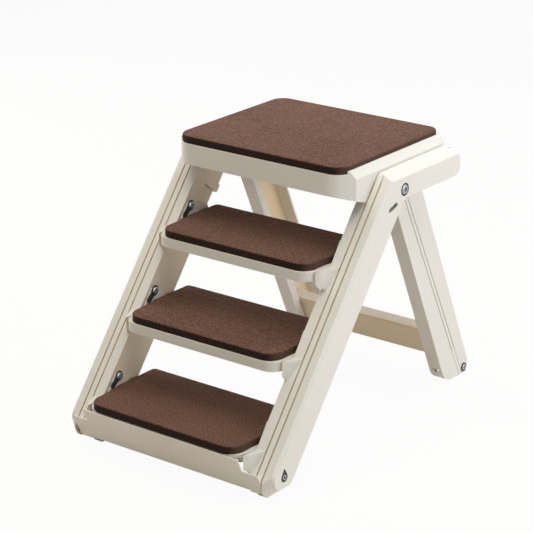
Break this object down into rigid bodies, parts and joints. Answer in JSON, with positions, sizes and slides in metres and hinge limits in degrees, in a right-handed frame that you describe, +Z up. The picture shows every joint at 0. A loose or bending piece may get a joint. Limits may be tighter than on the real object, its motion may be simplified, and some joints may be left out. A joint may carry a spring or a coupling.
{
  "type": "folding pet stairs",
  "caption": "Folding A-frame pet stairs in cream moulded plastic with brown matting on the platform and steps, hinged rear legs and linked tilting treads.",
  "frame": {"origin": "centre of the bounding box on the floor", "axes": "+X to the right side, +Y from the lowest step to the rear legs, +Z up"},
  "size_m": [0.4292, 0.6816, 0.49],
  "materials": {
    "cream_plastic": "satin, finely textured moulding",
    "brown_matting": "soft matt foam matting with a fine grain",
    "steel": "zinc plated",
    "grey_rubber": "matt non-slip rubber"
  },
  "bodies": {
    "frame": {"side_frame_left": "cream_plastic", "side_frame_right": "cream_plastic", "platform": "cream_plastic", "mat_platform": "brown_matting", "platform_screws": "steel", "kick_panel": "cream_plastic", "front_foot_left": "grey_rubber", "front_foot_right": "grey_rubber", "front_foot_bolts": "steel", "pivot_bolts_upper": "steel", "pivot_bolts_middle": "steel", "pivot_bolts_lower": "steel", "leg_pivot_bolts": "steel", "leg_pivot_nuts": "steel"},
    "step_upper": {"tread_upper": "cream_plastic", "mat_upper": "brown_matting", "link_pins_upper": "steel"},
    "step_middle": {"tread_middle": "cream_plastic", "mat_middle": "brown_matting", "link_pins_middle": "steel"},
    "step_lower": {"tread_lower": "cream_plastic", "mat_lower": "brown_matting", "link_pins_lower": "steel"},
    "link_bars": {"link_bar_left": "cream_plastic", "link_bar_right": "cream_plastic"},
    "rear_legs": {"rear_leg_left": "cream_plastic", "rear_leg_right": "cream_plastic", "rear_crossbar": "cream_plastic", "rear_foot_left": "grey_rubber", "rear_foot_right": "grey_rubber", "rear_foot_bolts": "steel"}
  },
  "joints": [
    {"name": "rear_legs_fold", "type": "hinge", "parent": "frame", "child": "rear_legs", "pos_m": [0, 0.0422, 0.4343], "axis": [1, 0, 0], "range_deg": [-54, 0]},
    {"name": "upper_step_tilt", "type": "hinge", "parent": "frame", "child": "step_upper", "pos_m": [0, -0.05455, 0.3592], "axis": [1, 0, 0], "range_deg": [0, 32]},
    {"name": "middle_step_tilt", "type": "hinge", "parent": "frame", "child": "step_middle", "pos_m": [0, -0.15331, 0.2337], "axis": [1, 0, 0], "range_deg": [0, 32]},
    {"name": "lower_step_tilt", "type": "hinge", "parent": "frame", "child": "step_lower", "pos_m": [0, -0.25073, 0.1099], "axis": [1, 0, 0], "range_deg": [0, 32]},
    {"name": "link_bars_turn", "type": "hinge", "parent": "step_middle", "child": "link_bars", "pos_m": [0, -0.1309, 0.19749], "axis": [1, 0, 0], "range_deg": [-32, 0]}
  ],
  "couplings": [
    {"joint": "upper_step_tilt", "follows": "rear_legs_fold", "ratio": -0.5892},
    {"joint": "middle_step_tilt", "follows": "rear_legs_fold", "ratio": -0.5892},
    {"joint": "lower_step_tilt", "follows": "rear_legs_fold", "ratio": -0.5892},
    {"joint": "link_bars_turn", "follows": "rear_legs_fold", "ratio": 0.5892}
  ]
}
